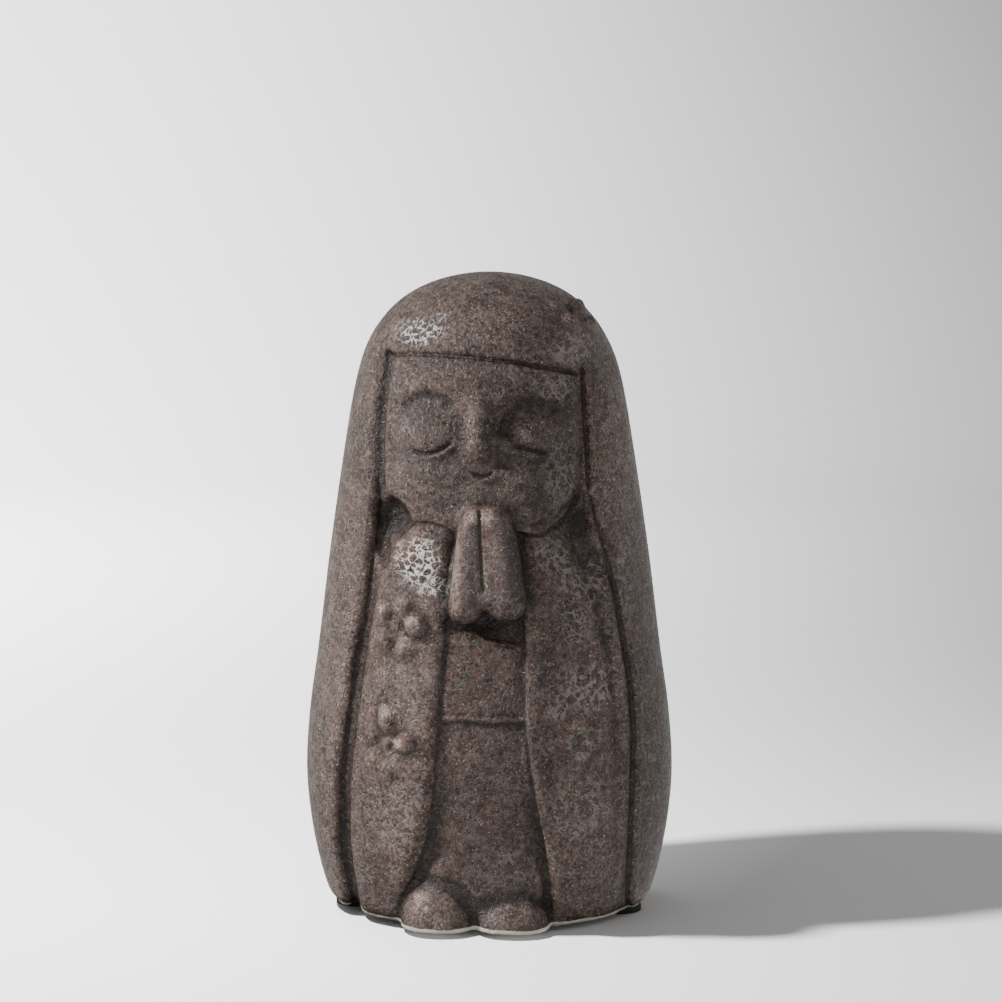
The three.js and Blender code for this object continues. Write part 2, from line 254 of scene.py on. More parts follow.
# Engraved lines, seen from the front, as points (x, z), with left and right as one looks at the face.
# Each is a cut of some depth and width. It may have a raised lip beside it, and a ledge that stands up
# on one side of the line and fades away from it. A fill brings the form forwards.
engraving = [
    {
        "name": "left eye",
        "line": [(-17.6, 125.0), (-15.5, 124.3), (-13.0, 124.2), (-10.3, 124.9), (-8.2, 126.2),
                 (-6.4, 128.0)],
        "depth": 1.0, "width": 0.5, "lip": 0.75, "lipAt": -0.9,
    },
    {
        "name": "right eye",
        "line": [(8.2, 127.2), (10.2, 126.1), (12.5, 125.4), (15.4, 124.8), (18.4, 124.2)],
        "depth": 1.0, "width": 0.5, "lip": 0.7, "lipAt": -0.9,
    },
    {
        "name": "left brow",
        "line": [(-20.6, 134.0), (-18.6, 137.2), (-14, 138.7), (-9.5, 138.2), (-6.2, 135.2)],
        "depth": 0.9, "width": 1.7,
    },
    {
        "name": "right brow",
        "line": [(5.8, 127.6), (6.9, 132.6), (9.6, 136.2), (14, 137.7), (18.5, 136.6), (21, 133.5)],
        "depth": 1.0, "width": 2.0,
    },
    {
        "name": "mouth",
        "line": [(-2.5, 120.4), (-0.9, 119.2), (0.9, 118.7), (2.7, 119.1), (4.3, 120.5)],
        "depth": 0.8, "width": 0.45, "lip": 0.55, "lipAt": -0.8,
    },
    {
        "name": "fringe",
        "line": [(-25.4, 147.2), (-22.5, 148.2), (-18.5, 148.8), (-11, 149.0), (-2, 148.6), (8, 147.4),
                 (17, 145.6), (22.5, 144.3), (25.3, 142.9)],
        "depth": 0.9, "width": 0.5, "lip": 0.3, "lipAt": 1.1,
    },
    {
        "name": "left face edge",
        "line": [(-24.4, 150.4), (-25.0, 147), (-25.7, 141), (-26.4, 134), (-26.7, 126), (-26.7, 117),
                 (-26.4, 108)],
        "depth": 1.8, "width": 1.45, "lip": 0.25, "lipAt": -2.8,
    },
    {
        "name": "left hair edge",
        "line": [(-26.4, 112), (-27.6, 100), (-29.4, 86), (-31.4, 73), (-34.4, 53), (-36.2, 38),
                 (-36.4, 21), (-34.9, 6), (-33.8, -4)],
        "depth": 1.9, "width": 1.7, "lip": 0.2, "lipAt": -3.0,
    },
    {
        "name": "right face edge",
        "line": [(25.4, 147), (25.8, 140), (26.3, 133), (27.0, 123), (27.3, 113)],
        "depth": 0.9, "width": 0.55, "lip": 0.4, "lipAt": 1.2,
    },
    {
        "name": "right hair edge",
        "line": [(27.6, 114), (29.6, 105), (31.6, 98), (34.6, 86), (36.7, 73), (38.3, 63), (39.1, 53),
                 (39.2, 43), (38.4, 21), (37.6, 6), (37, -4)],
        "depth": 1.0, "width": 0.6, "lip": 0.45, "lipAt": 1.4,
    },
    {
        "name": "right robe edge",
        "line": [(11.4, 88), (12.2, 77), (12.4, 67), (12.5, 57), (13.5, 47), (15.1, 36), (17.0, 25),
                 (18.2, 14), (19.0, 0)],
        "depth": 0.15, "width": 0.6, "ledge": 1.1, "soft": 0.6, "fall": 2.6,
    },
    {
        "name": "right robe groove",
        "line": [(12.6, 52), (13.2, 45), (14.6, 36), (16.5, 25), (17.7, 14), (18.4, 0)],
        "depth": 0.6, "width": 0.6,
    },
    {
        "name": "left robe edge",
        "line": [(-7.6, 88), (-8.6, 77), (-9.4, 67), (-10.1, 57), (-10.8, 46), (-11.7, 36),
                 (-13.2, 25), (-15.6, 18), (-20.5, 7)],
        "depth": 0.3, "width": 0.8, "ledge": -0.5, "soft": 0.8, "fall": 2.6,
    },
    {
        "name": "hand seam",
        "line": [(0.7, 113), (0.9, 107), (1.1, 103), (1.5, 95), (1.9, 89.5)],
        "depth": 0.8, "width": 0.38,
    },
    {
        "name": "sash foot",
        "line": [(-10.4, 56.7), (-4.5, 56.7), (0.6, 56.5), (5.7, 56.4), (13.0, 56.5)],
        "depth": 0.1, "width": 0.4, "lip": 0.75, "lipAt": 0.3,
    },
    {
        "name": "sash top",
        "line": [(-8.6, 78.2), (-4.0, 78.0), (1.0, 77.4), (7.0, 76.2), (12.2, 75.2)],
        "depth": 0.2, "width": 0.5, "ledge": -0.6, "soft": 0.5, "fall": 3.0,
    },
    {
        "name": "left collar",
        "line": [(-23.0, 99.4), (-20.6, 103.2), (-17.4, 105.6), (-13.0, 106.4), (-8.4, 105.4),
                 (-4.6, 102.6)],
        "depth": 0.7, "width": 0.6, "ledge": -0.5, "soft": 0.4, "fall": 2.5,
    },
    {
        "name": "chin fill",
        "line": [(9, 105.8), (13, 104.9), (17, 105.4), (20.4, 107.6), (22.6, 110.2)],
        "depth": 0, "width": 1.3, "fill": 1.5,
    },
    {
        "name": "chin",
        "line": [(7.5, 105.0), (12, 103.7), (16, 103.9), (20, 106.0), (23, 109.2), (25.3, 114)],
        "depth": 0.6, "width": 0.6, "lip": 0.25, "lipAt": 1.1,
    },
    {
        "name": "above the left toe",
        "line": [(-21.4, 3), (-19.6, 10), (-16.4, 13.2), (-12.0, 15.0), (-7.5, 14.8), (-3.4, 12.2),
                 (-0.9, 8)],
        "depth": 0.55, "width": 0.7,
    },
    {
        "name": "above the right toe",
        "line": [(-1.0, 7), (1.8, 10.0), (5.0, 11.6), (9.0, 12.0), (13.4, 10.6), (16.6, 7.2),
                 (18.4, 2)],
        "depth": 0.15, "width": 0.5,
    },
]

# Raised or hollowed soft spots: centre (x, z), half sizes, rise, turn in degrees
dabs = [
    {"name": "nose tip", "at": (0.8, 126.2), "size": (4.6, 3.6), "rise": 0.6, "turn": 0},
    {"name": "nose ridge", "at": (0.4, 131.5), "size": (4.2, 9.5), "rise": 0.8, "turn": 3},
    {"name": "left lid", "at": (-12.8, 130.2), "size": (8.8, 6.4), "rise": 0.9, "turn": 0},
    {"name": "right lid", "at": (15.6, 130.2), "size": (7.4, 5.4), "rise": 0.5, "turn": 0},
    {"name": "right socket side", "at": (7.2, 131.0), "size": (3.0, 5.6), "rise": -0.6, "turn": -14},
    {"name": "right lid corner", "at": (9.6, 128.4), "size": (2.8, 2.6), "rise": -0.45, "turn": 0},
    {"name": "left socket side", "at": (-5.0, 131.5), "size": (2.4, 5.0), "rise": -0.3, "turn": 12},
    {"name": "right cheek hollow", "at": (6.2, 123.0), "size": (3.6, 4.0), "rise": -0.5, "turn": 0},
    {"name": "lower lip", "at": (1.0, 116.9), "size": (3.6, 1.6), "rise": 0.2, "turn": 0},
    {"name": "left cheek", "at": (-14.5, 117.0), "size": (10, 8), "rise": 0.6, "turn": 0},
    {"name": "left neck hollow", "at": (-22.8, 107.0), "size": (6.6, 6.6), "rise": -2.2, "turn": 20},
    {"name": "left shoulder hollow", "at": (-25.4, 100.5), "size": (2.6, 9.5), "rise": -1.5, "turn": 6},
    {"name": "right neck hollow", "at": (25.2, 106.0), "size": (4.5, 7.0), "rise": -0.8, "turn": -20},
    {"name": "left blossom big petal", "at": (-16.0, 80.4), "size": (3.6, 3.6), "rise": 1.8, "turn": 0},
    {"name": "left blossom top petal", "at": (-18.7, 86.6), "size": (2.8, 2.6), "rise": 0.7, "turn": 0},
    {"name": "left blossom outer petal", "at": (-24.8, 83.8), "size": (2.8, 3.2), "rise": 1.1, "turn": 0},
    {"name": "left blossom lower petal", "at": (-24.4, 76.4), "size": (2.8, 3.2), "rise": 0.8, "turn": 20},
    {"name": "left blossom foot petal", "at": (-19.2, 73.8), "size": (3.0, 2.8), "rise": 0.5, "turn": 0},
    {"name": "left blossom hollow", "at": (-20.3, 80.0), "size": (1.8, 2.4), "rise": -1.0, "turn": 0},
    {"name": "lower blossom top petal", "at": (-23.8, 56.2), "size": (2.5, 4.4), "rise": 1.8, "turn": 8},
    {"name": "lower blossom inner petal", "at": (-18.8, 50.4), "size": (3.2, 2.8), "rise": 1.4, "turn": 0},
    {"name": "lower blossom outer petal", "at": (-27.6, 51.4), "size": (2.4, 3.0), "rise": 0.6, "turn": 0},
    {"name": "lower blossom foot petal", "at": (-23.8, 42.4), "size": (2.4, 4.2), "rise": 0.8, "turn": 0},
    {"name": "lower blossom hollow", "at": (-22.6, 49.4), "size": (1.6, 2.0), "rise": -0.9, "turn": 0},
    {"name": "right blossom top petal", "at": (25.0, 55.0), "size": (3.0, 2.8), "rise": 0.7, "turn": 0},
    {"name": "right blossom outer petal", "at": (31.5, 52.0), "size": (2.4, 2.8), "rise": 0.5, "turn": 0},
    {"name": "right blossom foot petal", "at": (26.6, 47.6), "size": (2.6, 3.0), "rise": 0.5, "turn": 0},
]

# The blossom in the hair lies on the crown, so its petals and the hollows between them have a place in
# space: x, y, z, radius, rise
crownSpots = [
    (18.6, -4.0, 162.8, 2.8, 0.5),
    (24.0, -3.0, 160.0, 3.0, 0.6),
    (27.6, -7.0, 155.8, 3.0, 0.6),
    (22.0, -14.6, 157.2, 3.0, 1.1),
    (27.0, -13.0, 153.6, 2.8, 0.7),
    (22.4, -9.6, 159.8, 2.6, -1.7),
    (26.4, -9.0, 157.4, 1.6, -1.0),
]


def smoothRise(value):
    value = np.clip(value, 0.0, 1.0)
    return value * value * (3.0 - 2.0 * value)


def spotShape(far):
    # 1 in the middle of a soft spot, and 0 from its edge on
    return smoothRise(carving["dabFullness"] * (1 - far))


def alongLine(x, z, line):
    # the distance to a chain of points with its side as a sign, its size, and the way along the chain
    # to its nearer end
    points = np.array(line, dtype=float)
    lengths = np.hypot(*(points[1:] - points[:-1]).T)
    starts = np.concatenate([[0.0], np.cumsum(lengths)])
    nearest = np.full(len(x), np.inf)
    signed = np.zeros(len(x))
    fromEnd = np.zeros(len(x))
    for i, length in enumerate(lengths):
        along = (points[i + 1] - points[i]) / length
        dx, dz = x - points[i][0], z - points[i][1]
        t = np.clip(dx * along[0] + dz * along[1], 0.0, length)
        far = np.hypot(dx - t * along[0], dz - t * along[1])
        side = np.sign(dz * along[0] - dx * along[1])
        closer = far < nearest
        nearest = np.where(closer, far, nearest)
        signed = np.where(closer, far * side, signed)
        fromEnd = np.where(closer, np.minimum(starts[i] + t, starts[-1] - starts[i] - t), fromEnd)
    return signed, nearest, fromEnd


def getPlaces(mesh):
    places = np.empty(len(mesh.vertices) * 3)
    mesh.vertices.foreach_get("co", places)
    return places.reshape(-1, 3) / mm


def setPlaces(mesh, places):
    mesh.vertices.foreach_set("co", (places * mm).ravel())
    mesh.update()


def getNormals(mesh):
    normals = np.empty(len(mesh.vertices) * 3, dtype=np.float32)
    mesh.vertices.foreach_get("normal", normals)
    return normals.reshape(-1, 3).astype(float)


def sculpt(piece):
    places = getPlaces(piece.data)
    normals = getNormals(piece.data)
    x, y, z = places.T
    facing = smoothRise((-normals[:, 1] - carving["fadeFrom"]) / carving["fadeOver"])
    ahead = y < carving["back"]
    front = facing * ahead
    lift = np.zeros(len(x))
    forwards = np.zeros(len(x))
    for stroke in engraving:
        signed, far, fromEnd = alongLine(x, z, stroke["line"])
        ends = smoothRise(fromEnd / carving["strokeEnd"])
        change = -stroke["depth"] * np.exp(-(far / stroke["width"]) ** 2)
        if "lip" in stroke:
            lip = np.exp(-((signed - stroke["lipAt"]) / carving["lipWidth"]) ** 2)
            change += stroke["lip"] * lip * (far < carving["lipReach"])
        if "ledge" in stroke:
            over = signed * math.copysign(1, stroke["ledge"])
            fall = np.exp(-np.maximum(over, 0) / stroke["fall"])
            change += abs(stroke["ledge"]) * smoothRise(0.5 + over / (2 * stroke["soft"])) * fall
        lift += change * ends * front
        if "fill" in stroke:
            forwards += stroke["fill"] * np.exp(-(far / stroke["width"]) ** 2) * ends * ahead
    for dab in dabs:
        turn = math.radians(dab["turn"])
        dx, dz = x - dab["at"][0], z - dab["at"][1]
        across = (dx * math.cos(turn) + dz * math.sin(turn)) / dab["size"][0]
        upwards = (dz * math.cos(turn) - dx * math.sin(turn)) / dab["size"][1]
        lift += dab["rise"] * spotShape(np.hypot(across, upwards)) * front
    for spotX, spotY, spotZ, radius, rise in crownSpots:
        far = np.sqrt((x - spotX) ** 2 + (y - spotY) ** 2 + (z - spotZ) ** 2) / radius
        lift += rise * spotShape(far)
    places += normals * lift[:, None]
    places[:, 1] -= forwards
    setPlaces(piece.data, places)


def evenedOut(places, edges, rounds):
    count = np.bincount(edges.ravel(), minlength=len(places)).astype(float)[:, None]
    for _ in range(rounds):
        total = np.empty_like(places)
        for axis in range(3):
            total[:, axis] = np.bincount(edges[:, 0], places[edges[:, 1], axis], len(places))
            total[:, axis] += np.bincount(edges[:, 1], places[edges[:, 0], axis], len(places))
        places = 0.5 * places + 0.5 * total / np.maximum(count, 1)
    return places


def storeNumber(mesh, name, values):
    layer = mesh.attributes.new(name, "FLOAT", "POINT")
    layer.data.foreach_set("value", values.astype(np.float32))


# Patches of the glaze, seen from the front: centre (x, z), half sizes, strength. The webs are lines of the
# glaze's net painted silvery white, a painted reflection of the lamp, strongest on the lit left side; the
# netting is grey lines with wider meshes, the rust is in the glaze's cells, the sheen is a smooth grey
# glaze, and the brightness patches make the glaze paler or darker over wide areas, while their small ones
# are painted highlights and painted shade.
webAndPaintedReflectionPatches = [
    (-15.0, 96.5, 7.5, 8.0, 1.0),  # chest, left of the hands
    (-11.5, 91.0, 6.0, 4.0, 0.85),  # beside the left hand
    (-16.0, 154.0, 8.5, 4.5, 0.85),  # hair above the fringe
    (-11.0, 157.5, 5.0, 3.0, 0.5),  # a little higher
    (9.0, 6.0, 6.0, 3.0, 0.32),  # right toe
    (-13.0, 8.0, 5.0, 3.0, 0.32),  # left toe
]
nettingPatches = [
    (26.0, 91.0, 9.5, 8.0, 1.0),  # right shoulder
    (24.5, 80.0, 4.5, 9.0, 0.85),  # right sleeve
    (28.0, 64.5, 8.5, 8.0, 1.15),  # right sleeve, middle
    (20.5, 60.0, 5.0, 5.0, 0.85),  # its inner side
    (26.0, 50.5, 5.0, 6.0, 1.0),  # right blossom
    (26.0, 34.0, 10.0, 14.0, 0.7),  # right sleeve, foot
    (36.5, 92.0, 3.0, 16.0, 0.7),  # right hair
    (20.5, 119.0, 5.5, 12.0, 0.9),  # right cheek
    (18.0, 141.0, 8.0, 6.0, 0.9),  # forehead, right
    (23.0, 150.0, 9.0, 6.0, 0.8),  # hair above the fringe
    (-17.8, 141.5, 3.5, 4.0, 0.8),  # forehead, left
    (-18.0, 131.0, 3.5, 3.5, 0.7),  # left lid
    (18.0, 98.0, 8.0, 8.0, 0.8),  # right of the hands
    (12.0, 20.0, 10.0, 12.0, 0.5),  # right robe edge, foot
    (-22.0, 30.0, 10.0, 16.0, 0.6),  # left sleeve, foot
    (8.0, 88.0, 4.0, 6.0, 0.7),  # right wrist
    (-18.0, 62.0, 6.0, 14.0, 0.5),  # left sleeve, middle
]
rustPatches = [
    (2.0, 67.0, 13.0, 13.0, 1.0),  # sash
    (-28.0, 84.0, 5.0, 24.0, 0.85),  # left sleeve, outer side
    (27.0, 52.0, 13.0, 9.0, 0.9),  # right blossom
    (-20.0, 101.0, 10.0, 7.0, 0.95),  # left shoulder
    (-16.0, 73.0, 6.0, 5.0, 0.8),  # under the left blossom
    (0.0, 36.0, 14.0, 22.0, 0.5),  # skirt
    (-28.0, 45.0, 8.0, 25.0, 0.5),  # beside the lower blossom
    (25.0, 30.0, 14.0, 25.0, 0.4),  # right sleeve, foot
    (0.0, 143.0, 12.0, 5.0, 0.5),  # forehead
    (0.0, 122.0, 6.0, 4.0, 0.5),  # upper lip
    (-10.0, 14.0, 9.0, 3.0, 0.6),  # above the left toe
]
sheenPatches = [
    (1.5, 98.0, 9.0, 18.0, 1.0),  # hands
    (25.0, 151.0, 9.0, 7.0, 0.75),  # hair above the fringe
    (37.5, 90.0, 3.5, 22.0, 0.55),  # right hair
    (41.0, 55.0, 3.5, 24.0, 0.5),  # right hair, lower
    (-32.5, 92.0, 2.6, 20.0, 0.6),  # left hair
    (-38.0, 60.0, 2.8, 22.0, 0.55),  # left hair, lower
    (-15.5, 68.0, 7.0, 9.0, 0.6),  # under the left blossom
    (-20.0, 80.0, 8.0, 9.0, 0.6),  # left blossom
    (-16.0, 80.6, 3.2, 3.2, 1.0),  # its big petal
    (-24.8, 84.0, 2.6, 3.0, 1.0),  # its outer petal
    (-21.5, 51.0, 7.0, 8.0, 0.6),  # lower blossom
    (-23.8, 56.8, 2.6, 4.0, 1.0),  # its top petal
    (-18.8, 50.8, 3.0, 2.8, 1.0),  # its inner petal
    (-10.5, 8.0, 9.0, 6.0, 0.9),  # left toe
    (8.0, 6.0, 8.0, 5.0, 0.8),  # right toe
    (28.0, 40.0, 10.0, 20.0, 0.3),  # right sleeve, foot
]
# brightness patches: the wide ones make the glaze paler or darker, the small ones from the finger tips on
# are painted highlights and painted shade
toneAndPaintedLightPatches = [
    (-19.0, 62.0, 13.0, 50.0, 0.55),  # left sleeve
    (-20.0, 30.0, 13.0, 30.0, 0.03),  # left sleeve, foot
    (1.5, 98.0, 9.0, 18.0, 0.3),  # hands
    (0.0, 128.0, 26.0, 22.0, -0.12),  # face
    (18.0, 122.0, 9.0, 12.0, -0.15),  # right cheek
    (-38.0, 60.0, 8.0, 60.0, 0.26),  # left hair
    (35.0, 124.0, 9.0, 26.0, 0.5),  # right hair
    (27.0, 26.0, 13.0, 22.0, 0.33),  # right sleeve, foot
    (27.0, 62.0, 11.0, 24.0, 0.3),  # right sleeve, middle
    (0.0, 160.0, 26.0, 8.0, 0.1),  # crown
    (1.0, 50.0, 12.0, 34.0, -0.07),  # skirt and sash
    (-10.5, 7.0, 10.0, 8.0, 0.42),  # left toe
    (8.0, 5.0, 9.0, 7.0, 0.08),  # right toe
    (-1.2, 109.2, 1.9, 2.2, 1.9),  # painted highlight on the left finger tips
    (2.6, 109.2, 1.9, 2.2, 1.7),  # painted highlight on the right finger tips
    (-5.2, 95.0, 1.8, 12.0, 1.1),  # left hand, outer side: a painted highlight streak
    (3.0, 99.0, 1.5, 10.0, 0.5),  # right hand, inner side: painted light on its lit ridge
    (9.8, 96.0, 2.6, 12.0, -0.4),  # right hand, outer side: painted shade
    (-0.6, 96.0, 1.4, 12.0, -0.3),  # left hand, inner side: painted shade by the seam
    (-23.0, 58.1, 2.2, 1.7, 2.4),  # lower blossom, top petal: painted highlight
    (-21.1, 50.3, 2.0, 1.3, 2.2),  # its inner petal: painted highlight
    (-17.0, 82.0, 2.0, 1.4, 1.3),  # left blossom, big petal: painted highlight
    (-25.0, 84.7, 1.5, 1.3, 1.3),  # its outer petal: painted highlight
    (-15.2, 10.4, 1.9, 1.4, 1.8),  # top of the left toe: painted highlight
    (-2.9, 132.0, 2.8, 7.0, 0.5),  # left side of the nose: painted light on its lit flank
    (-23.2, 106.2, 5.0, 6.0, -0.75),  # left neck hollow: painted shade
    (24.8, 106.0, 4.0, 7.0, -0.4),  # right neck hollow: painted shade
    (22.0, 151.0, 9.0, 5.0, 0.3),  # hair above the fringe
]


guideSettings = {
    "patchEdge": 1.3,  # where a patch has faded away, in half sizes
    "nearRounds": 8,
    "wideRounds": 49,
}


def patchShare(x, z, patches, summed=False):
    share = np.zeros(len(x))
    for middleX, middleZ, halfWide, halfTall, strength in patches:
        far = np.hypot((x - middleX) / halfWide, (z - middleZ) / halfTall)
        here = strength * smoothRise(guideSettings["patchEdge"] - far)
        share = share + here if summed else np.maximum(share, here)
    return share


def paintGuides(piece):
    # how deep each place lies below its evened surroundings, and the patches of the glaze
    mesh = piece.data
    places = getPlaces(mesh)
    normals = getNormals(mesh)
    edges = np.empty(len(mesh.edges) * 2, dtype=np.int32)
    mesh.edges.foreach_get("vertices", edges)
    edges = edges.reshape(-1, 2)
    near = evenedOut(places, edges, guideSettings["nearRounds"])
    wide = evenedOut(near, edges, guideSettings["wideRounds"])
    storeNumber(mesh, "hollowNear", ((near - places) * normals).sum(1))
    storeNumber(mesh, "hollowWide", ((wide - places) * normals).sum(1))
    x, y, z = places.T
    front = y < 0
    for name, patches in (
        ("webAndPaintedReflection", webAndPaintedReflectionPatches), ("netting", nettingPatches), ("rust", rustPatches), ("sheen", sheenPatches)
    ):
        storeNumber(mesh, name, patchShare(x, z, patches) * front)
    storeNumber(mesh, "toneAndPaintedLight", 1 + patchShare(x, z, toneAndPaintedLightPatches, summed=True) * front)


# Lumps of clay for the hands, cheeks, sleeve side, hem and toes, pressed onto the form before it is
# smoothed. Each has stations from one end to the other, (x, y, z, half width, half depth), and how
# square it is: 2 is round.
lumps = [
    {"name": "left hand", "square": 2.6, "stations": [
        (-3.5, -34.0, 81.4, 2.2, 3.0), (-3.3, -34.9, 83.2, 3.9, 5.2), (-2.7, -35.2, 87.0, 4.7, 6.2),
        (-2.3, -35.4, 92.0, 4.3, 6.3), (-2.0, -35.4, 96.0, 4.2, 6.3), (-1.7, -35.5, 103.0, 3.7, 6.0),
        (-1.3, -35.6, 107.4, 3.3, 5.3), (-0.8, -35.6, 110.2, 2.8, 4.2), (-0.4, -35.6, 111.9, 1.6, 2.6)]},
    {"name": "right hand", "square": 2.6, "stations": [
        (8.3, -34.0, 82.6, 2.4, 3.0), (7.9, -34.9, 84.4, 4.0, 5.2), (7.3, -35.2, 88.0, 5.0, 6.2),
        (6.8, -35.4, 93.0, 4.8, 6.3), (6.4, -35.4, 97.0, 4.7, 6.3), (5.8, -35.5, 103.0, 4.5, 6.0),
        (4.9, -35.6, 107.4, 3.9, 5.3), (3.9, -35.6, 110.2, 3.0, 4.2), (3.0, -35.6, 111.9, 1.7, 2.6)]},
    {"name": "between the palms", "square": 2.6, "stations": [
        (2.6, -34.0, 84.8, 1.6, 3.0), (2.5, -35.0, 86.2, 3.4, 5.5), (2.3, -35.2, 88.4, 4.0, 6.1),
        (1.9, -35.3, 96.0, 3.7, 6.2), (1.4, -35.4, 103.0, 3.5, 5.9), (1.2, -35.5, 107.4, 3.3, 5.2),
        (1.0, -35.5, 110.2, 2.8, 4.1), (0.9, -35.5, 111.9, 1.6, 2.5)]},
    {"name": "left cheek side", "square": 2.0, "stations": [
        (-22.4, -18.0, 145.0, 0.8, 1.0), (-22.7, -18.4, 142.5, 1.6, 2.4), (-22.9, -19.2, 139.0, 2.1, 3.2),
        (-23.1, -19.8, 134.0, 2.5, 3.7), (-23.2, -20.6, 126.0, 2.6, 4.1), (-23.0, -22.0, 118.0, 2.6, 4.2),
        (-22.0, -22.8, 114.0, 2.3, 4.0), (-20.6, -23.4, 110.8, 1.6, 3.0), (-19.8, -23.6, 109.0, 0.8, 1.4)]},
    {"name": "right cheek side", "square": 2.0, "stations": [
        (22.6, -17.6, 144.6, 0.8, 1.0), (22.8, -18.2, 142.0, 1.6, 2.4), (22.9, -19.2, 138.5, 2.1, 3.2),
        (23.0, -19.8, 134.0, 2.2, 3.8), (23.0, -20.6, 126.0, 2.3, 4.2), (22.8, -21.8, 118.0, 2.3, 4.2),
        (21.8, -22.6, 114.0, 2.2, 4.0), (20.6, -23.2, 110.8, 1.6, 3.0), (19.8, -23.4, 108.8, 0.8, 1.4)]},
    {"name": "right sleeve side", "square": 2.0, "stations": [
        (27.0, -19.6, 97.5, 0.8, 1.0), (27.6, -19.6, 95.0, 2.4, 2.8), (28.4, -19.6, 91.0, 3.8, 4.0),
        (29.6, -19.7, 86.0, 4.3, 4.4), (31.6, -19.6, 79.0, 3.8, 4.2), (33.2, -19.6, 73.0, 2.9, 3.8),
        (34.3, -20.2, 63.0, 3.1, 4.1), (35.0, -21.0, 53.0, 3.2, 3.8), (35.5, -21.6, 38.0, 2.8, 3.6),
        (34.8, -20.4, 21.0, 2.6, 3.5), (33.9, -18.4, 12.0, 2.5, 3.2), (33.3, -15.8, 5.0, 2.3, 2.8),
        (32.6, -13.0, 1.6, 2.0, 2.4), (32.6, -12.0, -2.4, 2.0, 2.4)]},
    {"name": "hem", "square": 3.0, "stations": [
        (0.4, -26.0, 3.0, 13.6, 5.4), (0.4, -26.6, 6.0, 15.8, 7.0), (0.6, -27.0, 10.0, 16.9, 7.5),
        (0.8, -27.0, 15.0, 16.9, 7.8), (1.0, -27.0, 20.0, 15.8, 8.0), (1.2, -27.0, 26.0, 13.8, 8.0),
        (1.2, -27.0, 32.0, 12.0, 7.0)]},
    {"name": "between the toes", "square": 2.4, "stations": [
        (-1.1, -26.0, -2.4, 4.4, 6.2), (-1.1, -26.2, 3.0, 5.0, 6.8), (-1.0, -26.6, 8.0, 6.4, 7.4),
        (-0.6, -27.0, 13.0, 8.4, 7.6)]},
    {"name": "left toe", "square": 2.3, "stations": [
        (-10.7, -27.4, -2.4, 9.6, 10.8), (-10.7, -27.4, 3.6, 9.9, 11.3), (-10.7, -27.4, 7.2, 9.0, 10.6),
        (-10.8, -27.3, 10.3, 7.2, 9.2), (-10.8, -27.2, 12.4, 4.2, 7.0)]},
    {"name": "right toe", "square": 2.3, "stations": [
        (8.0, -27.8, -2.4, 9.4, 10.6), (8.0, -27.8, 2.6, 9.6, 11.0), (8.0, -27.8, 5.2, 8.8, 10.2),
        (8.1, -27.7, 7.3, 7.0, 8.9), (8.1, -27.6, 8.8, 4.0, 7.2)]},
]


def selectTop(piece):
    def level(face):
        return abs(face.normal.z) > flatEnough

    inside = bmesh.from_edit_mesh(piece.data)
    top = max(face.calc_center_median().z for face in inside.faces if level(face))
    chooseParts(piece, "FACE", lambda face: level(face) and face.calc_center_median().z > top - touching)


def makeLump(shape):
    # a cylinder is extruded upwards ring by ring, and each ring is pulled to its station
    stations = shape["stations"]
    bpy.ops.object.select_all(action="DESELECT")
    bpy.ops.mesh.primitive_cylinder_add(
        vertices=clayForm["lumpSides"], radius=1.0, depth=2.0, end_fill_type="NGON"
    )
    lump = bpy.context.object
    lump.name = shape["name"].replace(" ", "_")
    bpy.ops.object.mode_set(mode="EDIT")
    for _ in stations[2:]:
        selectTop(lump)
        bpy.ops.mesh.extrude_region_move(TRANSFORM_OT_translate={"value": (0, 0, 1.0)})
    bpy.ops.object.mode_set(mode="OBJECT")
    for corner in lump.data.vertices:
        step = 0 if corner.co.z < 0 else round(corner.co.z)
        x, y, z, halfWide, halfDeep = stations[step]
        across, along = corner.co.x, corner.co.y
        squared = (abs(across) ** shape["square"] + abs(along) ** shape["square"]) ** (-1 / shape["square"])
        corner.co = Vector((x + across * squared * halfWide, y + along * squared * halfDeep, z)) * mm
    return lump


def onTheFront(at, out):
    fine = clayForm["fineFront"]
    ahead = out.y < -fine["facing"] and at.y < fine["back"]
    return ahead and abs(at.x) < fine["halfWide"] and fine["low"] < at.z < fine["high"]


def onTheUnderside(at, out):
    return out.z < -flatEnough and at.z < clayForm["foot"] + clayForm["footSlack"]


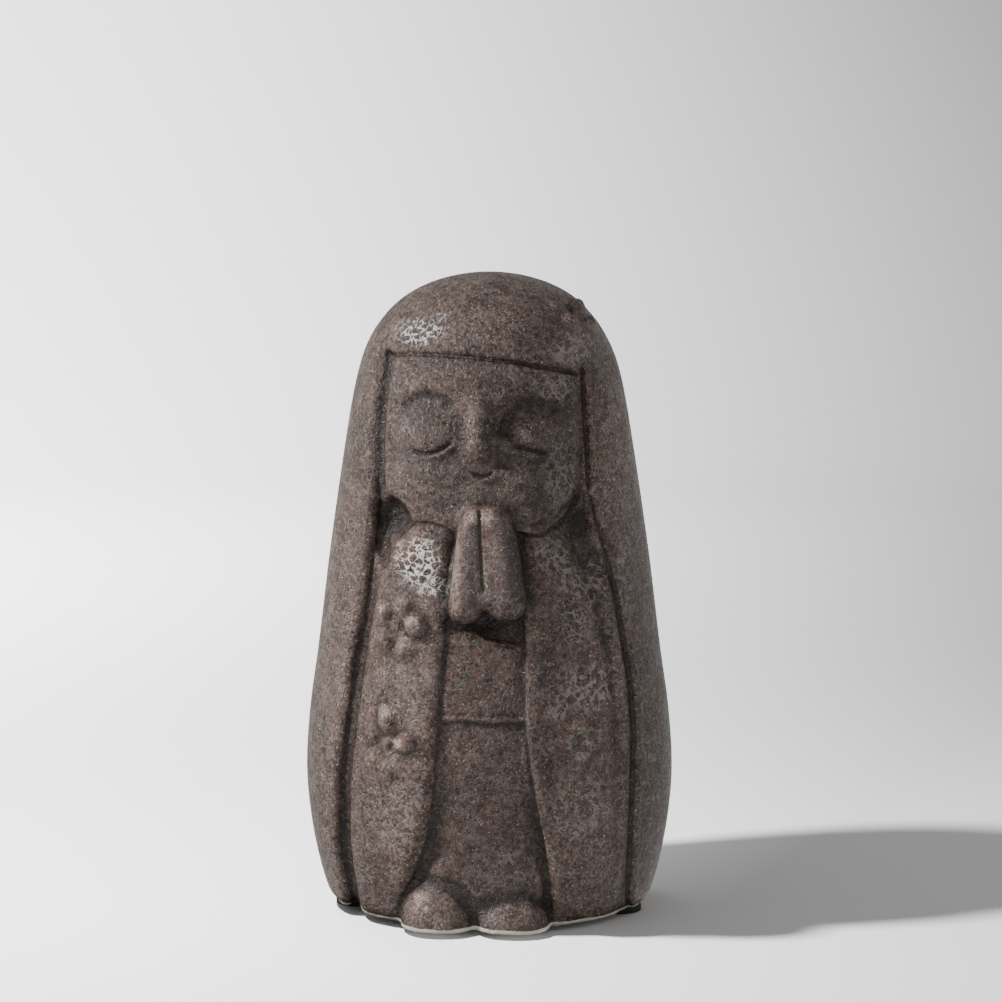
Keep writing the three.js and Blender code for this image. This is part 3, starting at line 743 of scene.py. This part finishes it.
def makeFigurine():
    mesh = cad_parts["figurine"].data.copy()
    piece = bpy.data.objects.new("glazedFigurine", mesh)
    bpy.context.scene.collection.objects.link(piece)
    inEditMode(
        piece,
        lambda: bpy.ops.mesh.select_all(action="SELECT"),
        lambda: bpy.ops.mesh.remove_doubles(threshold=clayForm["mergeWithin"] * mm),
        lambda: bpy.ops.mesh.tris_convert_to_quads(face_threshold=0.9, shape_threshold=0.9),
    )
    selectFaces(piece, onTheUnderside)
    # a spare foot, which is cut off again below
    inEditMode(
        piece,
        lambda: bpy.ops.mesh.extrude_region_move(
            TRANSFORM_OT_translate={"value": (0, 0, -clayForm["spareFoot"] * mm)}
        ),
    )
    applyModifier(piece, "SUBSURF", levels=2, render_levels=2)
    pressed = [makeLump(shape) for shape in lumps]
    pickOnly(piece)
    for lump in pressed:
        lump.select_set(True)
    bpy.ops.object.join()
    applyModifier(piece, "REMESH", mode="VOXEL", voxel_size=clayForm["voxel"] * mm, use_smooth_shade=True)
    applyModifier(piece, "SMOOTH", factor=0.5, iterations=clayForm["firstSmoothing"])
    print("clay form remeshed:", len(piece.data.polygons), "faces")
    inEditMode(
        piece,
        lambda: bpy.ops.mesh.select_all(action="SELECT"),
        lambda: bpy.ops.mesh.bisect(
            plane_co=(0, 0, clayForm["foot"] * mm), plane_no=(0, 0, 1), clear_inner=True, use_fill=True
        ),
    )
    selectFaces(piece, onTheFront)
    inEditMode(piece, lambda: bpy.ops.mesh.subdivide(number_cuts=1, smoothness=0.6))
    print("carved front refined:", len(piece.data.polygons), "faces")
    sculpt(piece)
    applyModifier(piece, "SMOOTH", factor=0.5, iterations=clayForm["lastSmoothing"])
    paintGuides(piece)
    for polygon in piece.data.polygons:
        polygon.use_smooth = True
    triangles = sum(len(polygon.vertices) - 2 for polygon in piece.data.polygons)
    print("figurine modelled:", triangles, "triangles")
    return piece


figurine = makeFigurine()


# Stoneware glaze: mottled umber, rust in cells, thin pale lines, grey netting and silvery webs that are a
# painted reflection, cream specks and dark pits, painted highlights and painted shade, and bare clay at the
# rim

glazeLook = {
    "dark": (0.0255, 0.0153, 0.0118),
    "middle": (0.0830, 0.0515, 0.0412),
    "light": (0.232, 0.158, 0.128),
    "rust": (0.180, 0.072, 0.042),
    "smooth": (0.118, 0.086, 0.076),
    "net": (0.262, 0.206, 0.186),
    "grey": (0.350, 0.296, 0.276),
    # painted reflection: the webs' lines are painted near white, as the lamp's glint on them looks
    "silver": (0.95, 0.92, 0.90),
    "speck": (0.62, 0.52, 0.40),
    "pit": (0.010, 0.0065, 0.005),
    "clay": (0.93, 0.89, 0.79),
    "rimHeight": 2.45,
    # waves or cells to the millimetre
    "fineScale": 2.3,
    "grainScale": 0.95,
    "blotchScale": 0.2,
    "cellScale": 0.46,
    "nettingScale": 0.36,
    "webScale": 0.50,
    "roughness": {"smooth": 0.24, "net": 0.24, "webAndPaintedReflection": 0.17, "clay": 0.8},
    "bump": 0.7,
    "bumpHeight": 0.9,
}


def glazeGround(tree, look):
    # what the layers of the glaze share: the guides on the mesh, the places and the grain
    ground = {
        name: addNode(tree, "Attribute", attribute_name=name).outputs["Fac"]
        for name in ("webAndPaintedReflection", "netting", "rust", "sheen", "toneAndPaintedLight", "hollowNear", "hollowWide")
    }
    where = millimetres(tree)
    wavy = pushedAbout(tree, pushedAbout(tree, where, 0.4, 2.6), 1.4, 1.0)
    grain = noiseAt(tree, where, look["grainScale"], 4.0, 0.66)
    blotch = noiseAt(tree, where, look["blotchScale"], 4.0, 0.62)
    fine = noiseAt(tree, where, look["fineScale"], 2.0, 0.6)
    mottled = plus(tree, times(tree, grain, 0.52), times(tree, blotch, 0.31))
    ground.update({
        "where": where,
        "wavy": wavy,
        "grain": grain,
        "blotch": blotch,
        "mottled": plus(tree, mottled, times(tree, fine, 0.17)),
        "uneven": noiseAt(tree, where, 0.6, 3.0, 0.65),
        "patchy": times(tree, noiseAt(tree, where, 0.35, 4.0, 0.7), 1.3),
        "borders": cellsAt(tree, wavy, look["cellScale"], "DISTANCE_TO_EDGE").outputs["Distance"],
    })
    return ground


def rustShare(tree, look, ground):
    # some of the cells are rusty inside, most of them in the patches
    cells = cellsAt(tree, ground["wavy"], look["cellScale"], "F1")
    pick = addNode(tree, "SeparateColor", {"Color": cells.outputs["Color"]}).outputs[0]
    inside = ramp(tree, ground["borders"], [(0.04, 0.0), (0.2, 1.0)])
    drift = ramp(tree, noiseAt(tree, ground["where"], 0.07, 3.0, 0.6), [(0.42, 0.12), (0.68, 0.6)])
    rusty = times(tree, ramp(tree, pick, [(0.3, 0.0), (0.5, 1.0)]), inside)
    rusty = times(tree, rusty, larger(tree, ground["rust"], drift))
    return times(tree, rusty, ramp(tree, ground["mottled"], [(0.40, 0.15), (0.52, 0.9)]))


def netShare(tree, ground):
    # thin broken lines: the borders of the cells, and loops of two sizes
    thick = times(tree, minus(tree, ground["uneven"], 0.45), 0.5)
    lines = ramp(tree, minus(tree, ground["borders"], thick), [(0.0, 1.0), (0.06, 0.0)])
    loops = (
        (0.42, 0.55, [(0.008, 1.0), (0.028, 0.0)]),
        (0.8, 0.5, [(0.01, 0.8), (0.035, 0.0)]),
    )
    for scale, roughness, stops in loops:
        winding = noiseAt(tree, ground["wavy"], scale, 2.0, roughness)
        curl = maths(tree, "ABSOLUTE", minus(tree, winding, 0.5))
        lines = larger(tree, lines, ramp(tree, curl, stops))
    broken = ramp(tree, noiseAt(tree, ground["where"], 0.28, 4.0, 0.65), [(0.36, 0.0), (0.54, 1.0)])
    return times(tree, lines, broken)


def meshesShare(tree, ground, guide, scale):
    # wide meshes, which show where their guide and a soft noise are strong
    borders = cellsAt(tree, ground["wavy"], scale, "DISTANCE_TO_EDGE").outputs["Distance"]
    reach = minus(tree, plus(tree, ground[guide], ground["patchy"]), 0.95)
    showing = times(tree, reach, 1.7, clamp=True)
    thick = times(tree, minus(tree, ground["uneven"], 0.455), 0.5)
    far = minus(tree, minus(tree, borders, thick), times(tree, showing, 0.03))
    return times(tree, showing, ramp(tree, far, [(0.0, 1.0), (0.06, 0.0)]))


def speckShare(tree, ground):
    dust = noiseAt(tree, ground["where"], 1.9, 1.0, 0.5)
    drift = times(tree, minus(tree, ground["blotch"], 0.5), 0.12)
    return ramp(tree, plus(tree, dust, drift), [(0.675, 0.0), (0.735, 1.0)])


def pitShare(tree, ground):
    holes = noiseAt(tree, pushedAbout(tree, ground["where"], 0.9, 0.6), 1.15, 1.0, 0.5)
    return ramp(tree, holes, [(0.27, 1.0), (0.33, 0.0)])


def hollowShade(tree, ground):
    # painted shade: the glaze colour is darkened where the surface lies in a hollow, the deeper the darker
    deep = plus(tree, times(tree, ground["hollowNear"], 2.2), times(tree, ground["hollowWide"], 0.7))
    return ramp(tree, plus(tree, deep, 0.5), [(0.0, 1.0), (0.5, 0.85), (0.9, 0.34)])


def bareShare(tree, look, ground):
    # the clay is bare below a wavy line round the foot
    height = addNode(tree, "SeparateXYZ", {"Vector": ground["where"]}).outputs["Z"]
    rimNoise = noiseAt(tree, ground["where"], 0.12, 3.0, 0.6)
    wave = times(tree, minus(tree, rimNoise, 0.5), 1.6)
    above = minus(tree, minus(tree, height, wave), look["rimHeight"])
    return ramp(tree, above, [(0.0, 1.0), (0.2, 0.0)])


def makeGlaze(look):
    material, tree, shader = newMaterial("stonewareGlaze")
    ground = glazeGround(tree, look)
    smooth = times(tree, ground["sheen"], ramp(tree, ground["blotch"], [(0.35, 0.3), (0.6, 0.95)]))
    net = netShare(tree, ground)
    netting = meshesShare(tree, ground, "netting", look["nettingScale"])
    webAndPaintedReflection = meshesShare(tree, ground, "webAndPaintedReflection", look["webScale"])
    wideLines = larger(tree, webAndPaintedReflection, times(tree, netting, 0.5))
    pit = pitShare(tree, ground)
    bare = bareShare(tree, look, ground)

    # the layers of colour, from the mottled grain up to the bare clay; the silvery webs are a painted
    # reflection
    stops = [(0.40, look["dark"]), (0.5, look["middle"]), (0.60, look["light"])]
    colour = ramp(tree, ground["mottled"], stops)
    layers = (
        (smooth, "smooth"),
        (rustShare(tree, look, ground), "rust"),
        (times(tree, net, 0.66), "net"),
        (times(tree, netting, 0.8), "grey"),
        (webAndPaintedReflection, "silver"),
        (times(tree, speckShare(tree, ground), 0.8), "speck"),
        (times(tree, pit, 0.8), "pit"),
    )
    for share, name in layers:
        colour = mixed(tree, share, colour, look[name])
    # painted highlights and painted shade from the brightness patches, and painted shade in the hollows
    for shade in (ground["toneAndPaintedLight"], hollowShade(tree, ground)):
        colour = mixed(tree, 1.0, colour, shade, "MULTIPLY")
    colour = mixed(tree, bare, colour, look["clay"])
    tree.links.new(colour, shader.inputs["Base Color"])

    rough = ramp(tree, ground["grain"], [(0.38, 0.34), (0.62, 0.5)])
    for share, name in ((ground["sheen"], "smooth"), (net, "net"), (wideLines, "webAndPaintedReflection"), (bare, "clay")):
        rough = mixed(tree, share, rough, [look["roughness"][name]] * 3)
    tree.links.new(rough, shader.inputs["Roughness"])

    # the relief of the grain is weaker in the smooth glaze, lines stand up and pits go in
    grainy = minus(tree, 1.5, times(tree, ground["sheen"], 1.3))
    bumps = times(tree, ground["mottled"], grainy)
    bumps = plus(tree, bumps, times(tree, wideLines, 0.25))
    bumps = plus(tree, bumps, times(tree, net, 0.22))
    bumps = minus(tree, bumps, times(tree, pit, 0.3))
    depth = look["bumpHeight"] * mm
    relief = addNode(tree, "Bump", {"Strength": look["bump"], "Distance": depth, "Height": bumps})
    tree.links.new(relief.outputs["Normal"], shader.inputs["Normal"])
    return material


glaze = makeGlaze(glazeLook)
figurine.data.materials.clear()
figurine.data.materials.append(glaze)
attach(figurine, "root")
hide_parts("figurine")
print("glaze made")


# Stick-on foam pads under the foot

padShape = {"rim": 0.35, "steps": 3, "sides": 64, "bevelAngle": 40, "smoothAngle": 35}
padLook = {
    "foam": (0.012, 0.012, 0.013),
    "grey": (0.035, 0.035, 0.036),
    "poreScale": 3.2,
    "roughness": 0.85,
    "bump": 0.5,
    "bumpHeight": 0.2,
}


def makeFoam(look):
    material, tree, shader = newMaterial("padFoam")
    pores = cellsAt(tree, millimetres(tree), look["poreScale"], "F1").outputs["Distance"]
    colour = ramp(tree, pores, [(0.1, look["foam"]), (0.8, look["grey"])])
    tree.links.new(colour, shader.inputs["Base Color"])
    shader.inputs["Roughness"].default_value = look["roughness"]
    depth = look["bumpHeight"] * mm
    relief = addNode(tree, "Bump", {"Strength": look["bump"], "Distance": depth, "Height": pores})
    tree.links.new(relief.outputs["Normal"], shader.inputs["Normal"])
    return material


def makePad(node, foam):
    low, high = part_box(node)
    bpy.ops.object.select_all(action="DESELECT")
    bpy.ops.mesh.primitive_cylinder_add(
        vertices=padShape["sides"],
        radius=(high.x - low.x) / 2,
        depth=high.z - low.z,
        location=(low + high) / 2,
    )
    pad = bpy.context.object
    pad.name = "foam_" + node
    bpy.ops.object.transform_apply(location=True, rotation=True, scale=True)
    applyModifier(
        pad,
        "BEVEL",
        width=padShape["rim"] * mm,
        segments=padShape["steps"],
        angle_limit=math.radians(padShape["bevelAngle"]),
    )
    bpy.ops.object.shade_smooth_by_angle(angle=math.radians(padShape["smoothAngle"]))
    pad.data.materials.append(foam)
    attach(pad, "root")
    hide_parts(node)


foam = makeFoam(padLook)
for node in ("foot_pad_left", "foot_pad_front", "foot_pad_right", "foot_pad_back"):
    makePad(node, foam)
print("pads made")


# Studio: a pale sweep, a small key lamp from the left for the figurine and another for the paper, a
# lamp on the wall, and soft fill

studio = {
    "halfWide": 2500,
    "front": -1600,
    "wall": 1300,
    "wallTop": 2200,
    "sweep": 500,
    "sweepSteps": 24,
    "paper": (0.80, 0.80, 0.80),
    "paperRoughness": 0.9,
    "paperSpecular": 0.1,
    # a lamp's azimuth is in degrees from the left round to the front
    "keyAim": (0, 0, 60),
    "key": {"azimuth": 17, "elevation": 32, "distance": 520, "size": 45, "power": 2.45},
    "paperKey": {"azimuth": 22, "elevation": 58, "distance": 350, "size": 26, "power": 5.0},
    "wallLamp": {"at": (-356, 445, 658), "aim": (-1127, 695, 0), "size": 300, "power": 45},
    "skyAbove": 0.40,
    "paperBelow": 0.70,
    "horizonBlend": 0.15,
}
footShade = {"halfWide": 43.0, "halfDeep": 36.0, "under": 0.4, "sides": 64, "black": (0.02, 0.02, 0.02)}


def makeSweep(settings):
    bpy.ops.object.select_all(action="DESELECT")
    bpy.ops.mesh.primitive_plane_add(size=1.0)
    sweep = bpy.context.object
    sweep.name = "studioSweep"
    long = settings["wall"] - settings["front"]
    sweep.scale = (2 * settings["halfWide"] * mm, long * mm, 1)
    sweep.location = (0, (settings["wall"] + settings["front"]) / 2 * mm, 0)
    bpy.ops.object.transform_apply(location=True, rotation=True, scale=True)

    def alongTheWall(edge):
        return all(corner.co.y > settings["wall"] * mm - touching for corner in edge.verts)

    def alongItsFoot(edge):
        return alongTheWall(edge) and all(abs(corner.co.z) < touching for corner in edge.verts)

    bpy.ops.object.mode_set(mode="EDIT")
    chooseParts(sweep, "EDGE", alongTheWall)
    bpy.ops.mesh.extrude_region_move(TRANSFORM_OT_translate={"value": (0, 0, settings["wallTop"] * mm)})
    chooseParts(sweep, "EDGE", alongItsFoot)
    bpy.ops.mesh.bevel(offset=settings["sweep"] * mm, segments=settings["sweepSteps"], affect="EDGES")
    bpy.ops.object.mode_set(mode="OBJECT")
    bpy.ops.object.shade_smooth()
    material, _, shader = newMaterial("studioPaper")
    shader.inputs["Base Color"].default_value = (*settings["paper"], 1)
    shader.inputs["Roughness"].default_value = settings["paperRoughness"]
    shader.inputs["Specular IOR Level"].default_value = settings["paperSpecular"]
    sweep.data.materials.append(material)
    sweep.visible_diffuse = False  # the bright paper lights neither the figurine nor itself
    sweep.visible_glossy = False
    return sweep


def makeFootShade(shade):
    # an unseen dark disc just under the paper, which keeps the fill light off the underside of the foot
    bpy.ops.object.select_all(action="DESELECT")
    bpy.ops.mesh.primitive_circle_add(vertices=shade["sides"], radius=1.0, fill_type="NGON")
    disc = bpy.context.object
    disc.name = "footShade"
    disc.scale = (shade["halfWide"] * mm, shade["halfDeep"] * mm, 1)
    disc.location = (0, 0, -shade["under"] * mm)
    bpy.ops.object.transform_apply(location=True, rotation=True, scale=True)
    material, _, shader = newMaterial("footShadeBlack")
    shader.inputs["Base Color"].default_value = (*shade["black"], 1)
    shader.inputs["Specular IOR Level"].default_value = 0.0
    disc.data.materials.append(material)
    disc.visible_camera = False


def makeLamp(name, place, aim, size, power, lit):
    data = bpy.data.lights.new(name, "AREA")
    data.shape = "DISK"
    data.size = size * mm
    data.energy = power
    lamp = bpy.data.objects.new(name, data)
    bpy.context.scene.collection.objects.link(lamp)
    lamp.location = Vector(place) * mm
    lamp.rotation_euler = (Vector(place) - Vector(aim)).to_track_quat("Z", "Y").to_euler()
    lamp.light_linking.receiver_collection = lit


def groupOf(name, pieces):
    group = bpy.data.collections.new(name)
    for piece in pieces:
        group.objects.link(piece)
    return group


def lampPlace(settings, lamp):
    azimuth = math.radians(lamp["azimuth"])
    elevation = math.radians(lamp["elevation"])
    towards = Vector((
        -math.cos(azimuth) * math.cos(elevation),
        -math.sin(azimuth) * math.cos(elevation),
        math.sin(elevation),
    ))
    return Vector(settings["keyAim"]) + towards * lamp["distance"]


def makeLights(settings, sweep):
    # the figurine and the paper have lamps of their own
    shown = [thing for thing in bpy.data.objects if thing.type == "MESH" and thing is not sweep]
    onFigure = groupOf("litFigure", shown)
    onPaper = groupOf("litPaper", [sweep])
    for name, lit in (("key", onFigure), ("paperKey", onPaper)):
        lamp = settings[name]
        makeLamp(name, lampPlace(settings, lamp), settings["keyAim"], lamp["size"], lamp["power"], lit)
    wall = settings["wallLamp"]
    makeLamp("wallLamp", wall["at"], wall["aim"], wall["size"], wall["power"], onPaper)
    world = bpy.data.worlds.new("studioFill")
    bpy.context.scene.world = world
    world.use_nodes = True
    tree = world.node_tree
    outwards = addNode(tree, "TexCoord").outputs["Generated"]
    height = addNode(tree, "SeparateXYZ", {"Vector": outwards}).outputs["Z"]
    above = addNode(tree, "MapRange", {
        "Value": height,
        "From Min": -settings["horizonBlend"],
        "From Max": settings["horizonBlend"],
        "To Min": settings["paperBelow"],
        "To Max": settings["skyAbove"],
    })
    tree.links.new(above.outputs["Result"], tree.nodes["Background"].inputs["Strength"])
    tree.nodes["Background"].inputs["Color"].default_value = (1, 1, 1, 1)


sweep = makeSweep(studio)
makeLights(studio, sweep)
makeFootShade(footShade)
print("studio made")
